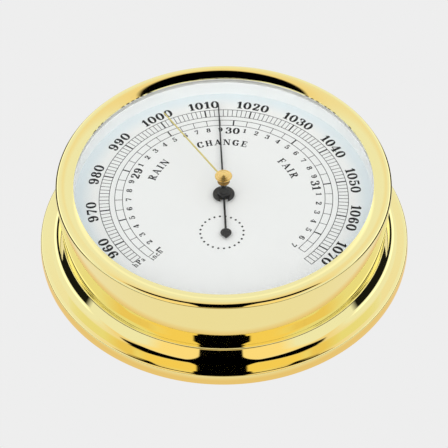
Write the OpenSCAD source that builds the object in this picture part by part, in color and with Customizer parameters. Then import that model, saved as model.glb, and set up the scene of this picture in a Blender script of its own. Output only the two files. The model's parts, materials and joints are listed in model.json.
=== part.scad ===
// Ship's aneroid barometer in a turned brass case, dial up.
// Millimetres. The origin is the centre of the flange's rear face, and 12 o'clock is towards +Y.

/* [Case] */
// Largest diameter of the mounting flange
flange_d = 151; // [150:0.5:154]
// Height of the flange's outer edge
flange_h = 5.8; // [5.6:0.1:6.0]
// Diameter of the wall where it rises above the hollow
foot_d = 131.6; // [131.2:0.1:132]
// Width of the sloping hollow between the flange and the wall
cove_w = 3.1; // [2.8:0.1:3.4]
// Height at which the hollow meets the wall
cove_z = 10.4; // [10:0.1:10.6]
// Height of the bezel's lower edge, just above the hollow
seam_z = 12.2; // [12:0.1:12.6]
// Largest diameter of the bezel
bezel_d = 134.2; // [133.8:0.1:134.8]
// Height of the bezel's top
case_h = 36.8; // [36.6:0.1:37.4]
// Clear diameter inside the bezel's lip
opening_d = 119.8; // [119.4:0.1:120]

/* [Dial and glass] */
// Height of the dial's printed face
dial_z = 26.5; // [26.4:0.1:26.6]
// Thickness of the glass
glass_t = 2; // [1.8:0.1:2.1]
// Thickness of the dial plate
dial_t = 1.1; // [0.9:0.1:1.2]

/* [Movement] */
// Diameter of the vacuum capsule
capsule_d = 52; // [46:1:54]
// Number of teeth on the pinion
pinion_teeth = 12; // [12:1:13]
// Number of teeth that the sector would have as a full wheel
sector_teeth = 180; // [176:1:180]
// Size of one tooth, as pitch diameter over number of teeth
tooth_module = 0.25; // [0.24:0.005:0.25]

/* [Hands] */
// Length of the indicating hand from its arbor
pointer_len = 53.6; // [48:0.2:55]
// Length of the set hand from its spindle
set_hand_len = 45.6; // [36:0.2:50]
// Diameter of the set hand's knob
knob_d = 7; // [6:0.2:8]

/* [Hidden] */
$fn = 96;

// Case heights and radii
flange_r = flange_d / 2;
foot_r = foot_d / 2;
bezel_r = bezel_d / 2;
opening_r = opening_d / 2;
spigot_r = foot_r - 1.6;
spigot_in_r = spigot_r - 1.9;
seat_z = dial_z - dial_t;
bezel_bore_r = spigot_r + 0.15;
lip_z = case_h - 1.6;
gasket_t = 0.4;
glass_top_z = lip_z - gasket_t;
glass_z = glass_top_z - glass_t;
glass_r = spigot_r;

// Rear cover
cover_r = 54.8;
cover_z = 0.4;
cover_t = 1.5;
cover_top_z = cover_z + cover_t;
ledge_in_r = 52;
ledge_t = 2;
cover_screw_r = 53.4;
keyhole_y = 45;
keyhole_r = 4.25;
keyhole_slot_w = 4.6;
keyhole_slot_len = 8;

// Movement plates
base_z = 4;
base_t = 1.2;
base_r = 38;
base_top_z = base_z + base_t;
upper_z = 17;
upper_t = 1;
upper_top_z = upper_z + upper_t;
upper_r = 37.5;
pillar_pcd_r = 34;
pillar_r = 2.2;
pillar_angles = [45, 135, 225, 315];
screw_r = 1;
screw_hole_r = 1.05;

// Capsule
capsule_r = capsule_d / 2;
leaf_z = 6.2;
leaf_t = 0.6;
leaf_w = 13;
leaf_x0 = -33;
leaf_x1 = 33;
capsule_base_z = leaf_z + leaf_t + 1.2;
capsule_half_h = 2.3;
rim_z = capsule_base_z + capsule_half_h;
capsule_top_z = rim_z + capsule_half_h;
sheet_t = 0.3;
boss_top_z = 13.6;
adjuster_x = -30.5;

// Gear train. The sector's arbor, the pinion and the rocker lie so that each arm works square on.
centre_dist = tooth_module * (pinion_teeth + sector_teeth) / 2;
contact_len = 2.5;
lift_len = 6;
fork_len = 4;
shaft_y = contact_len;
shaft_z = 14.6;
sector_x = -sqrt(centre_dist * centre_dist - shaft_y * shaft_y);
sector_y = shaft_y;
lift_x = sector_x - fork_len;
line_angle = atan2(-sector_y, -sector_x);
sector_z = 19;
sector_t = 0.8;
pressure_angle = 20;
backlash = 0.07;
fork_z = 20.2;
fork_t = 0.8;
bridge_z = 22.6;
bridge_t = 0.8;
bearing_x = [-30, 9];
bearing_w = 2;
bridge_posts_xy = [[-32, 8.5], [-32, -3.5], [11, 3]];

// Hands
pointer_z = 27.6;
pointer_t = 0.35;
washer_t = 0.15;
set_hand_z = glass_top_z + washer_t + 1.5;
set_hand_t = 0.3;
set_hand_top_z = set_hand_z + set_hand_t;
set_hand_angle = 35;

brass = [0.86, 0.68, 0.27];
steel = [0.62, 0.63, 0.65];
white = [0.95, 0.95, 0.94];
black = [0.05, 0.05, 0.06];

// Points of an arc about [x, y] from angle a0 to a1
function arc(x, y, r, a0, a1, n = 8) = [for (i = [0:n]) let (a = a0 + (a1 - a0) * i / n)
    [x + r * cos(a), y + r * sin(a)]];

function unit(v) = v / norm(v);

// An outline of [r, z, fillet radius] corners, each non-zero fillet drawn as an arc
function corner(p, q, s) =
    q[2] == 0 ? [[q[0], q[1]]] :
    let (c = [q[0], q[1]], u = unit([p[0], p[1]] - c), v = unit([s[0], s[1]] - c),
         half = acos(u * v) / 2, d = q[2] / tan(half), mid = unit(u + v),
         o = c + mid * q[2] / sin(half), a = c + u * d, b = c + v * d,
         a0 = atan2(a[1] - o[1], a[0] - o[0]), turn = atan2(b[1] - o[1], b[0] - o[0]) - a0,
         span = turn > 180 ? turn - 360 : turn < -180 ? turn + 360 : turn)
    arc(o[0], o[1], q[2], a0, a0 + span, 6);
function rounded(pts) = let (n = len(pts))
    [for (i = [0:n - 1]) each corner(pts[(i + n - 1) % n], pts[i], pts[(i + 1) % n])];

// Involute teeth: half the angle that a tooth spans at radius r
function roll(a) = tan(a) * 180 / PI - a;
function tooth_half(n, r) =
    let (rp = tooth_module * n / 2, rb = rp * cos(pressure_angle))
    90 / n - backlash / 4 / rp * 180 / PI + roll(pressure_angle) - roll(acos(min(1, rb / max(r, rb))));
function tooth(n, r0, r1, a) =
    let (rb = tooth_module * n / 2 * cos(pressure_angle), s = max(r0, rb), steps = 4)
    concat([[r0, a - tooth_half(n, s)]],
        [for (i = [0:steps]) let (r = s + (r1 - s) * i / steps) [r, a - tooth_half(n, r)]],
        [for (i = [0:steps]) let (r = r1 + (s - r1) * i / steps) [r, a + tooth_half(n, r)]],
        [[r0, a + tooth_half(n, s)]]);
function polar(p) = [p[0] * cos(p[1]), p[0] * sin(p[1])];

module at_pillars() {
    for (a = pillar_angles) rotate(a) translate([pillar_pcd_r, 0, 0]) children();
}
module at_quarters(r, first) {
    for (a = [first:90:first + 270]) rotate(a) translate([r, 0, 0]) children();
}
module at_dial_pillars() {
    for (a = [0, 120, 240]) rotate(a) translate([33, 0, 0]) children();
}
module rod(r, z0, z1) {
    translate([0, 0, z0]) cylinder(r = r, h = z1 - z0);
}
module ring(r_out, r_in, z0, z1) {
    difference() {
        rod(r_out, z0, z1);
        rod(r_in, z0 - 1, z1 + 1);
    }
}
// A slotted screw from its head's outer face at head_z, its shank pointing up, or down
module screw(head_r, head_h, head_z, shank_r, shank_len, down = false) {
    translate([0, 0, head_z]) rotate([down ? 180 : 0, 0, 0]) {
        difference() {
            cylinder(r = head_r, h = head_h);
            translate([-head_r - 1, -0.25, -0.1]) cube([2 * head_r + 2, 0.5, 0.1 + head_h * 0.4]);
        }
        translate([0, 0, head_h - 0.05]) cylinder(r = shank_r, h = shank_len + 0.05);
    }
}

// Flange, hollow and the spigot that the bezel fits over
module case_body() {
    color(brass) difference() {
        rotate_extrude($fn = 180) polygon(rounded([
            [ledge_in_r, ledge_t, 0], [cover_r + 0.2, ledge_t, 0], [cover_r + 0.2, 0, 0],
            [flange_r - 0.2, 0, 0.5], [flange_r, 2.4, 0], [flange_r - 0.25, flange_h - 0.18, 0.8],
            [flange_r - 1.7, flange_h, 1], [foot_r + cove_w, flange_h + 0.05, 4], [foot_r, cove_z, 2.2],
            [foot_r, seam_z - 0.1, 0], [foot_r - 0.6, seam_z - 0.1, 0], [foot_r - 0.6, seam_z, 0],
            [spigot_r, seam_z, 0], [spigot_r, seat_z, 0], [spigot_in_r, seat_z, 0],
            [spigot_in_r, ledge_t + 2, 0.6], [ledge_in_r, ledge_t + 2, 0]]));
        at_quarters(cover_screw_r, 45) rod(0.85, 1, 3.6);
    }
}
// The wall and the rounded lip over the glass
module bezel() {
    crown = bezel_r - 1.9 - opening_r;
    color(brass) rotate_extrude($fn = 180) polygon(concat(
        [[bezel_bore_r, seam_z], [foot_r, seam_z]],
        arc(bezel_r - 1.5, case_h - 1.5, 1.5, -3, 86, 12),
        [for (i = [0:12]) [opening_r + crown * (1 - i / 12), case_h - pow(i / 12, 2)]],
        [[opening_r, lip_z], [bezel_bore_r, lip_z]]));
}

module glass_gasket() {
    color(white) ring(glass_r, opening_r + 0.1, glass_top_z, lip_z);
}
module front_glass() {
    color([0.85, 0.93, 0.95, 0.3]) ring(glass_r, 1.6, glass_z, glass_top_z);
}
module rehaut_ring() {
    color(white) ring(glass_r, opening_r + 0.2, dial_z, glass_z);
}
module dial_plate() {
    color(white) ring(glass_r - 0.3, 2, seat_z, dial_z);
}
module dial_feet() {
    color(steel) at_dial_pillars() rod(0.9, seat_z - 3.4, seat_z);
}
module dial_foot_screws() {
    color(steel) at_dial_pillars() translate([2.6, 0, seat_z - 1.6]) rotate([0, -90, 0])
        cylinder(r = 0.6, h = 1.6);
}
module dial_pillars() {
    color(brass) at_dial_pillars() difference() {
        rod(2, upper_top_z, seat_z);
        rod(0.95, seat_z - 3.6, seat_z + 1);
        translate([3, 0, seat_z - 1.6]) rotate([0, -90, 0]) cylinder(r = 0.65, h = 2.6);
    }
}

// The rear cover with its hanging keyhole and the hole over the adjusting screw
module rear_cover() {
    color(brass) difference() {
        rod(cover_r, cover_z, cover_top_z);
        translate([0, keyhole_y, 0]) rod(keyhole_r, -1, 4);
        intersection() {
            translate([-keyhole_slot_w / 2, keyhole_y, -1]) cube([keyhole_slot_w, keyhole_slot_len, 5]);
            rod(cover_r - 2.6, -1, 4);
        }
        translate([adjuster_x, 0, 0]) rod(3, -1, 4);
        at_quarters(cover_screw_r, 45) rod(0.9, -1, 4);
        at_pillars() {
            rod(screw_hole_r, -1, 4);
            rod(2.3, -1, cover_z + 0.8);
        }
    }
}
module rear_cover_screws() {
    color(brass) at_quarters(cover_screw_r, 45) screw(1.5, 0.35, 0.05, 0.8, 3);
}
module movement_spacers() {
    color(brass) at_pillars() ring(2.6, screw_hole_r, cover_top_z, base_z);
}
module movement_screws() {
    color(steel) at_pillars() screw(2.2, 0.7, cover_z + 0.1, screw_r, 7.2);
}

module base_plate() {
    color(brass) difference() {
        rod(base_r, base_z, base_top_z);
        rod(5, base_z - 1, base_top_z + 1);
        translate([adjuster_x, 0, 0]) rod(2.5, base_z - 1, base_top_z + 1);
        at_pillars() rod(screw_hole_r, base_z - 1, base_top_z + 1);
        for (y = [-3.5, 3.5]) translate([leaf_x1 - 3, y, 0]) rod(0.85, base_z - 1, base_top_z + 1);
    }
}
module plate_pillars() {
    color(brass) at_pillars() difference() {
        rod(pillar_r, base_top_z, upper_z);
        rod(screw_hole_r, base_top_z - 1, base_top_z + 3.6);
        rod(screw_hole_r, upper_z - 3.6, upper_z + 1);
    }
}
// The upper plate carries the pivots, with a window for the rocker's lift arm
module upper_plate() {
    color(brass) difference() {
        rod(upper_r, upper_z, upper_top_z);
        rod(0.4, upper_z - 1, upper_top_z + 1);
        translate([sector_x, sector_y, 0]) rod(0.55, upper_z - 1, upper_top_z + 1);
        translate([lift_x - 1.4, shaft_y - 2.4, upper_z - 1]) cube([2.8, 4.8, upper_t + 2]);
        at_pillars() rod(screw_hole_r, upper_z - 1, upper_top_z + 1);
        for (s = [-1, 1]) translate([8, s * 19, 0]) rod(8, upper_z - 1, upper_top_z + 1);
    }
}
module upper_plate_screws() {
    color(steel) at_pillars() screw(1.8, 0.9, upper_top_z + 0.9, screw_r, 4.3, down = true);
}

// The sprung leaf that carries the capsule; the adjusting screw lifts its free end
module carrier_spring() {
    color(steel) difference() {
        translate([leaf_x0, -leaf_w / 2, leaf_z]) cube([leaf_x1 - leaf_x0, leaf_w, leaf_t]);
        rod(1.55, leaf_z - 1, leaf_z + 2);
        for (y = [-3.5, 3.5]) translate([leaf_x1 - 3, y, 0]) rod(0.85, leaf_z - 1, leaf_z + 2);
    }
}
module carrier_block() {
    color(steel) difference() {
        translate([leaf_x1 - 6, -leaf_w / 2, base_top_z]) cube([6, leaf_w, leaf_z - base_top_z]);
        for (y = [-3.5, 3.5]) translate([leaf_x1 - 3, y, 0]) rod(0.85, base_top_z - 1, leaf_z + 1);
    }
}
module carrier_rivets() {
    color(steel) for (y = [-3.5, 3.5]) translate([leaf_x1 - 3, y, 0]) {
        rod(0.8, base_z + 0.1, leaf_z + leaf_t + 0.05);
        rod(1.5, leaf_z + leaf_t, leaf_z + leaf_t + 0.6);
    }
}
module capsule_stud() {
    color(brass) {
        rod(4, leaf_z + leaf_t, capsule_base_z);
        rod(1.5, leaf_z - 1.6, leaf_z + leaf_t + 0.1);
    }
}
module capsule_nut() {
    color(brass) difference() {
        translate([0, 0, leaf_z - 1.4]) cylinder(r = 3, h = 1.4, $fn = 6);
        rod(1.55, leaf_z - 3, leaf_z + 1);
    }
}
// Depth of a diaphragm below its rim at radius r: a flat centre, ripples, then a rise to the rim
function sag(r) = let (edge = capsule_r - 1.6, slope = capsule_r - 4.2)
    r > edge ? 0 :
    let (full = capsule_half_h - sheet_t / 2, fall = r < slope ? 1 : (edge - r) / (edge - slope),
         ripple = r > 6 && r < slope ? 0.28 * (1 - cos(360 * (r - 6) / (slope - 6) * 3)) : 0)
    full * fall - ripple;
// Half of the capsule, above the rim's plane when up is 1 and below it when up is -1
module diaphragm(up) {
    steps = 48;
    sheet = [for (i = [0:steps]) let (r = capsule_r * i / steps) [r, max(0, sag(r) - sheet_t / 2)]];
    rotate_extrude() polygon(concat(
        [for (p = sheet) [p[0], rim_z + up * (p[1] + sheet_t)]],
        [for (i = [steps:-1:0]) [sheet[i][0], rim_z + up * sheet[i][1]]]));
}
module capsule_lower() {
    color(brass) diaphragm(-1);
}
module capsule_upper() {
    color(brass) diaphragm(1);
}
// The capsule's top boss, which rises and falls with the air pressure
module capsule_boss() {
    color(brass) {
        rod(1.4, capsule_top_z, capsule_top_z + 0.5);
        rod(0.8, capsule_top_z + 0.4, boss_top_z);
    }
}
module adjusting_bush() {
    color(brass) translate([adjuster_x, 0, 0]) {
        ring(2.45, 1.5, base_z - 1.2, base_top_z);
        ring(3.6, 1.5, base_z - 1.2, base_z);
    }
}
module adjusting_screw() {
    color(steel) translate([adjuster_x, 0, 0]) difference() {
        rod(1.45, cover_top_z + 0.15, leaf_z - 0.05);
        translate([-2, -0.3, cover_top_z]) cube([4, 0.6, 0.8]);
    }
}

// Rocking shaft that turns the capsule's rise and fall into a sideways push
module rocker_bearings() {
    color(brass) for (x = bearing_x) translate([x, shaft_y, 0]) difference() {
        translate([-bearing_w / 2, -2.5, shaft_z - 1.6]) cube([bearing_w, 5, upper_z - shaft_z + 1.6]);
        translate([-bearing_w, 0, shaft_z]) rotate([0, 90, 0]) cylinder(r = 0.65, h = 2 * bearing_w);
        translate([0, 0, upper_z - 1.5]) cylinder(r = 0.65, h = 2);
    }
}
module rocker_bearing_screws() {
    color(steel) for (x = bearing_x) translate([x, shaft_y, 0])
        rod(0.6, upper_z - 1.3, upper_z - 0.02);
}
module rocker_shaft() {
    color(steel) translate([0, shaft_y, shaft_z]) rotate([0, 90, 0]) {
        rod(1, bearing_x[0] + bearing_w / 2 + 0.1, bearing_x[1] - bearing_w / 2 - 0.1);
        rod(0.6, bearing_x[0] - bearing_w / 2 + 0.1, bearing_x[1] + bearing_w / 2 - 0.1);
    }
}
// A collar on the rocking shaft, at x along it
module shaft_collar(x, w) {
    translate([x - w / 2, shaft_y, shaft_z]) rotate([0, 90, 0]) difference() {
        cylinder(r = 1.5, h = w);
        translate([0, 0, -1]) cylinder(r = 1, h = w + 2);
    }
}
module contact_arm() {
    color(steel) {
        shaft_collar(0, 2.4);
        translate([-0.8, -0.9, shaft_z - 0.3]) cube([1.6, shaft_y - 0.4, 0.8]);
        rod(0.4, boss_top_z + 0.05, shaft_z);
    }
}
module lift_arm() {
    color(steel) {
        shaft_collar(lift_x, 2.2);
        translate([lift_x - 0.6, shaft_y - 0.6, shaft_z + 1.2]) cube([1.2, 1.2, 4.4]);
        translate([lift_x, shaft_y, 0]) rod(0.45, shaft_z + 5.5, shaft_z + lift_len + 1);
    }
}

module sector_arbor() {
    color(steel) translate([sector_x, sector_y, 0]) {
        rod(0.9, upper_top_z + 0.1, bridge_z - 0.1);
        rod(0.5, upper_z + 0.1, bridge_z + bridge_t - 0.1);
    }
}
// Toothed sector: rim, two spokes and a hub on the sector's arbor
module sector_gear() {
    rp = tooth_module * sector_teeth / 2;
    root = rp - 1.4 * tooth_module;
    tip = rp + 0.7 * tooth_module;
    pitch = 360 / sector_teeth;
    half_teeth = 8;
    color(brass) translate([sector_x, sector_y, sector_z]) rotate(line_angle) difference() {
        linear_extrude(sector_t) {
            polygon(concat([for (i = [-half_teeth:half_teeth - 1])
                each [for (p = tooth(sector_teeth, root, tip, (i + 0.5) * pitch)) polar(p)]],
                arc(0, 0, root - 1.8, half_teeth * pitch, -half_teeth * pitch, 24)));
            for (s = [-1, 1]) rotate(s * (half_teeth * pitch - 3))
                translate([0, -0.9]) square([root - 1, 1.8]);
            circle(r = 2.6);
        }
        translate([0, 0, -1]) cylinder(r = 0.9, h = 3);
    }
}
// The fork behind the sector that the lift arm's pin works in
module sector_fork() {
    color(brass) translate([sector_x, sector_y, fork_z]) difference() {
        linear_extrude(fork_t) {
            circle(r = 2);
            translate([-fork_len - 1.4, -1.5]) square([fork_len + 1.4, 3]);
        }
        translate([0, 0, -1]) cylinder(r = 0.9, h = 3);
        translate([-fork_len - 2, -0.75, -1]) cube([3, 1.5, 3]);
    }
}
module pinion() {
    rp = tooth_module * pinion_teeth / 2;
    color(steel) rotate(line_angle + 180) difference() {
        translate([0, 0, sector_z - 0.4]) linear_extrude(sector_t + 0.8)
            polygon([for (i = [0:pinion_teeth - 1])
                each [for (p = tooth(pinion_teeth, rp - 1.25 * tooth_module, rp + 0.9 * tooth_module,
                    i * 360 / pinion_teeth)) polar(p)]]);
        rod(0.6, sector_z - 2, sector_z + 3);
    }
}
module pointer_arbor() {
    color(steel) {
        rod(0.6, upper_top_z + 0.1, pointer_z + 0.6);
        rod(0.35, upper_z + 0.1, upper_top_z + 0.2);
    }
}
module hairspring_collet() {
    color(brass) ring(1.5, 0.6, 20.9, 21.8);
}
// Flat spiral from beside the collet out to the stud
module hairspring() {
    turns = 4.25;
    r0 = 1.75;
    pitch = 1.2;
    steps = 24 * turns;
    w = 0.12;
    color(steel) translate([0, 0, 21.1]) linear_extrude(0.5) polygon(concat(
        [for (i = [0:steps]) let (a = 360 * i / 24) polar([r0 + pitch * a / 360, a])],
        [for (i = [steps:-1:0]) let (a = 360 * i / 24) polar([r0 + w + pitch * a / 360, a])]));
}
module hairspring_stud() {
    color(brass) translate([0, 7.5, 0]) rod(0.6, 20.9, bridge_z);
}
// The bridge over the sector and the pinion
module movement_bridge() {
    color(brass) translate([0, 0, bridge_z]) difference() {
        linear_extrude(bridge_t) {
            translate([-34, -1.5]) square([47, 8]);
            for (p = bridge_posts_xy) translate(p) circle(r = 2.6);
            circle(r = 9.4);
        }
        translate([0, 0, -1]) cylinder(r = 0.65, h = 3);
        translate([sector_x, sector_y, -1]) cylinder(r = 0.55, h = 3);
        for (p = bridge_posts_xy) translate([p[0], p[1], -1]) cylinder(r = 0.75, h = 3);
    }
}
module bridge_posts() {
    color(brass) for (p = bridge_posts_xy) translate([p[0], p[1], 0]) difference() {
        rod(1.6, upper_top_z, bridge_z);
        rod(0.75, bridge_z - 2.6, bridge_z + 1);
    }
}
module bridge_screws() {
    color(steel) for (p = bridge_posts_xy) translate([p[0], p[1], 0])
        screw(1.4, 0.6, bridge_z + bridge_t + 0.6, 0.7, 3.2, down = true);
}

// A hand's arm along +Y: half widths w0 at its root and w1 where its point begins
module tapered_arm(w0, w1, len, point) {
    polygon([[-w0, 0], [w0, 0], [w1, len - point], [0, len], [-w1, len - point]]);
}
// Indicating hand: tapering arm, hub disc and a tail that ends in a round weight with a point
module pointer() {
    weight_y = -21;
    color(black) translate([0, 0, pointer_z]) rotate(2 * 2.25) linear_extrude(pointer_t) difference() {
        union() {
            circle(r = 4.4);
            tapered_arm(0.4, 0.25, pointer_len, 2);
            translate([-0.42, weight_y]) square([0.84, -weight_y]);
            translate([0, weight_y]) circle(r = 2.2);
            polygon([[-1.66, weight_y - 1.44], [0, weight_y - 2.9], [1.66, weight_y - 1.44]]);
        }
        circle(r = 1);
        for (s = [-1, 1]) translate([s * 0.97 - 0.55, -5]) square([1.1, 2.3]);
    }
}
module pointer_hub() {
    color(black) difference() {
        union() {
            rod(2.5, pointer_z + pointer_t, pointer_z + pointer_t + 0.95);
            rod(1, pointer_z - 0.1, pointer_z + pointer_t + 0.1);
            rod(1.4, dial_z + 0.3, pointer_z);
        }
        rod(0.6, dial_z - 1, pointer_z + 0.6);
    }
}

// Set hand, worked by the knob through the glass
module set_bush() {
    color(white) {
        ring(1.55, 0.85, glass_z - 0.01, glass_top_z);
        ring(1.9, 0.85, glass_z - 0.3, glass_z);
    }
}
module set_spindle() {
    color(black) {
        rod(0.8, glass_z - 0.75, set_hand_top_z + 1);
        rod(1.3, glass_z - 0.75, glass_z - 0.32);
    }
}
module set_hand() {
    color(brass) translate([0, 0, set_hand_z]) rotate(set_hand_angle)
    linear_extrude(set_hand_t) difference() {
        union() {
            circle(r = 2.4);
            tapered_arm(0.38, 0.3, set_hand_len, 1);
        }
        circle(r = 0.8);
    }
}
// The boss that carries the set hand, over the spring washer
module set_hand_collar() {
    color(brass) ring(2.5, 0.8, glass_top_z + washer_t, set_hand_z);
}
module spring_washer() {
    color(steel) ring(2.3, 0.9, glass_top_z, glass_top_z + washer_t);
}
module set_knob() {
    color(brass) translate([0, 0, set_hand_top_z]) difference() {
        rotate_extrude() polygon([[0, 0], [2.6, 0], [knob_d / 2 - 0.1, 1.1], [knob_d / 2, 1.35],
            [knob_d / 2 - 0.15, 1.6], [knob_d * 0.25, 2], [0, 2.15]]);
        rod(0.8, -1, 1);
    }
}

case_body();
bezel();
glass_gasket();
front_glass();
rehaut_ring();
dial_plate();
dial_feet();
dial_foot_screws();
dial_pillars();
rear_cover();
rear_cover_screws();
movement_spacers();
movement_screws();
base_plate();
plate_pillars();
upper_plate();
upper_plate_screws();
carrier_spring();
carrier_block();
carrier_rivets();
capsule_stud();
capsule_nut();
capsule_lower();
capsule_upper();
capsule_boss();
adjusting_bush();
adjusting_screw();
rocker_bearings();
rocker_bearing_screws();
rocker_shaft();
contact_arm();
lift_arm();
sector_arbor();
sector_gear();
sector_fork();
pinion();
pointer_arbor();
hairspring_collet();
hairspring();
hairspring_stud();
movement_bridge();
bridge_posts();
bridge_screws();
pointer();
pointer_hub();
set_bush();
set_spindle();
set_hand();
set_hand_collar();
spring_washer();
set_knob();
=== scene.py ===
"""Looks of a ship's aneroid barometer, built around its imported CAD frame.

The turned brass case, the printed dial, the glass and the hands are modelled here at the frame's sizes.
The rear cover, the fasteners and the movement are CAD nodes with a better material.
"""
import json
import math

import bmesh
import bpy
from mathutils import Matrix, Vector


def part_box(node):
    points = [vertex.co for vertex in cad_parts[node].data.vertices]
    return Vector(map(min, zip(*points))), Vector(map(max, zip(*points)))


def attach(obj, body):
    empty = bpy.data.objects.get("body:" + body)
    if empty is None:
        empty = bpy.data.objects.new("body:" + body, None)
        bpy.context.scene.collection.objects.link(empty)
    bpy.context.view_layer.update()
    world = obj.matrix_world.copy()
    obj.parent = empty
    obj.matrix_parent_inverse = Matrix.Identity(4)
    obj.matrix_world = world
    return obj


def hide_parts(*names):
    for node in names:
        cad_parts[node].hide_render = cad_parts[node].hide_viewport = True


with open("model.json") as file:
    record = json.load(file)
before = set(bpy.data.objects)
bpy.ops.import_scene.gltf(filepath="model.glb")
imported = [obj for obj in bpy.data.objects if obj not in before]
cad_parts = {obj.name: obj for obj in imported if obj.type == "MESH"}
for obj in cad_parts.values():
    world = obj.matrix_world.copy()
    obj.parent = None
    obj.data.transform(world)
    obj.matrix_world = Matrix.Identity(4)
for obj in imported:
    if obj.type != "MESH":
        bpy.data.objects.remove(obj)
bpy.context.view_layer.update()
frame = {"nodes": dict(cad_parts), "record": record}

MM = 0.001
CASE = "movement_and_case"

# ---------------------------------------------------------------- sizes, in millimetres


def radius_of(node):
    """Half the width of a CAD node along X, in millimetres."""
    low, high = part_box(node)
    return (high.x - low.x) / 2 / MM


def heights_of(node):
    """Lowest and highest point of a CAD node, in millimetres."""
    low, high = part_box(node)
    return low.z / MM, high.z / MM


FLANGE_R = radius_of("case_body")
SEAT_Z = heights_of("case_body")[1]
BEZEL_R = radius_of("bezel")
SEAM_Z, CASE_H = heights_of("bezel")
GLASS_R = radius_of("front_glass")
GLASS_Z, GLASS_TOP_Z = heights_of("front_glass")
LIP_Z = heights_of("glass_gasket")[1]
DIAL_Z = heights_of("dial_plate")[1]
DIAL_R = radius_of("dial_plate")
POINTER_Z, POINTER_TOP_Z = heights_of("pointer")
HUB_Z, HUB_TOP_Z = heights_of("pointer_hub")
SET_HAND_Z, SET_HAND_TOP_Z = heights_of("set_hand")
KNOB_Z, KNOB_TOP_Z = heights_of("set_knob")
BOSS_Z = heights_of("set_hand_collar")[0]
KNOB_R = radius_of("set_knob")

FLANGE_H = 5.8
FOOT_R = GLASS_R + 1.6
HOLLOW_W = 3.1
HOLLOW_Z = 10.4
RIM_ROUND = 1.5
OPENING_R = 59.9
SPIGOT_R = GLASS_R
BEZEL_BORE_R = SPIGOT_R + 0.15

# Dial: degrees run clockwise from 12 o'clock, radii are from the centre
HPA_AT_TOP = 1015
DEGREES_PER_HPA = 2.25
INCH_AT_TOP = 29.9536
DEGREES_PER_INCH = 75.5
HPA_RANGE = (954, 1075)
INCH_TENTHS = (281, 317)
HPA_RAILS = (46.2, 50.2)
INCH_RAILS = (40.8, 43.9)
RAIL_W = 0.25
THIN_TICK_W = 0.25
THICK_TICK_W = 0.6
INK_H = 0.02
HPA_NUMBER_R = 51.4
HPA_NUMBER_H = 4.1
INCH_NUMBER_R = 36.0
INCH_NUMBER_H = 3.5
TENTH_R = 37.2
TENTH_H = 2.3
WORD_R = 29.2
WORD_H = 3.25
POINTER_ANGLE = -4.5
POINTER_LEN = 53.6
SET_HAND_ANGLE = -35.0
SET_HAND_LEN = 45.6

# ---------------------------------------------------------------- outlines


def arc(x, y, r, start, end, steps=12):
    """Points of an arc about (x, y), angles in degrees."""
    angles = [math.radians(start + (end - start) * i / steps) for i in range(steps + 1)]
    return [(x + r * math.cos(a), y + r * math.sin(a)) for a in angles]


def rounded(corners, steps=14):
    """A closed outline of (r, z, fillet radius) corners with each non-zero fillet drawn as an arc."""
    outline = []
    for i, (x, y, fillet) in enumerate(corners):
        here = Vector((x, y))
        if fillet == 0:
            outline.append((x, y))
            continue
        before = (Vector(corners[i - 1][:2]) - here).normalized()
        after = (Vector(corners[(i + 1) % len(corners)][:2]) - here).normalized()
        half = before.angle(after) / 2
        centre = here + (before + after).normalized() * fillet / math.sin(half)
        first = here + before * fillet / math.tan(half) - centre
        last = here + after * fillet / math.tan(half) - centre
        start = math.degrees(math.atan2(first.y, first.x))
        turn = math.degrees(math.atan2(last.y, last.x)) - start
        turn = (turn + 180) % 360 - 180
        outline += arc(centre.x, centre.y, fillet, start, start + turn, steps)
    return outline


def supported(outline, margin=0.12, least=1.0):
    """The outline with a point just inside each end of its long straights, so that they shade flat."""
    out = []
    for i, point in enumerate(outline):
        here = Vector(point)
        there = Vector(outline[(i + 1) % len(outline)])
        out.append(point)
        if (there - here).length > least:
            step = (there - here).normalized() * margin
            out += [tuple(here + step), tuple(there - step)]
    return out


# ---------------------------------------------------------------- meshes


def add_object(name, bm, material, sharp=30):
    """Turns the bmesh, in millimetres, into an object: smooth faces, edges sharp over the given angle."""
    bmesh.ops.scale(bm, vec=(MM, MM, MM), verts=bm.verts)
    bmesh.ops.recalc_face_normals(bm, faces=bm.faces)
    for face in bm.faces:
        face.smooth = True
    for edge in bm.edges:
        if len(edge.link_faces) == 2 and edge.calc_face_angle(0) > math.radians(sharp):
            edge.smooth = False
    mesh = bpy.data.meshes.new(name)
    bm.to_mesh(mesh)
    bm.free()
    mesh.materials.append(material)
    obj = bpy.data.objects.new(name, mesh)
    bpy.context.scene.collection.objects.link(obj)
    return obj


def lathe(name, outline, material, segments=288):
    """A solid turned about the Z axis from a closed (r, z) outline. Points at r = 0 become a pole."""
    bm = bmesh.new()
    columns = []
    poles = {i: bm.verts.new((0, 0, z)) for i, (r, z) in enumerate(outline) if r < 1e-6}
    for k in range(segments):
        a = 2 * math.pi * k / segments
        columns.append([
            poles.get(i) or bm.verts.new((r * math.cos(a), r * math.sin(a), z))
            for i, (r, z) in enumerate(outline)])
    for k in range(segments):
        here, there = columns[k], columns[(k + 1) % segments]
        for i in range(len(outline)):
            j = (i + 1) % len(outline)
            corners = []
            for v in (here[i], there[i], there[j], here[j]):
                if v not in corners:
                    corners.append(v)
            if len(corners) > 2:
                bm.faces.new(corners)
    return add_object(name, bm, material)


def add_prism(bm, outline, z0, z1):
    """A closed prism of a flat outline."""
    low = [bm.verts.new((x, y, z0)) for x, y in outline]
    high = [bm.verts.new((x, y, z1)) for x, y in outline]
    bm.faces.new(high)
    bm.faces.new(low[::-1])
    for i in range(len(outline)):
        j = (i + 1) % len(outline)
        bm.faces.new((low[i], low[j], high[j], high[i]))


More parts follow.
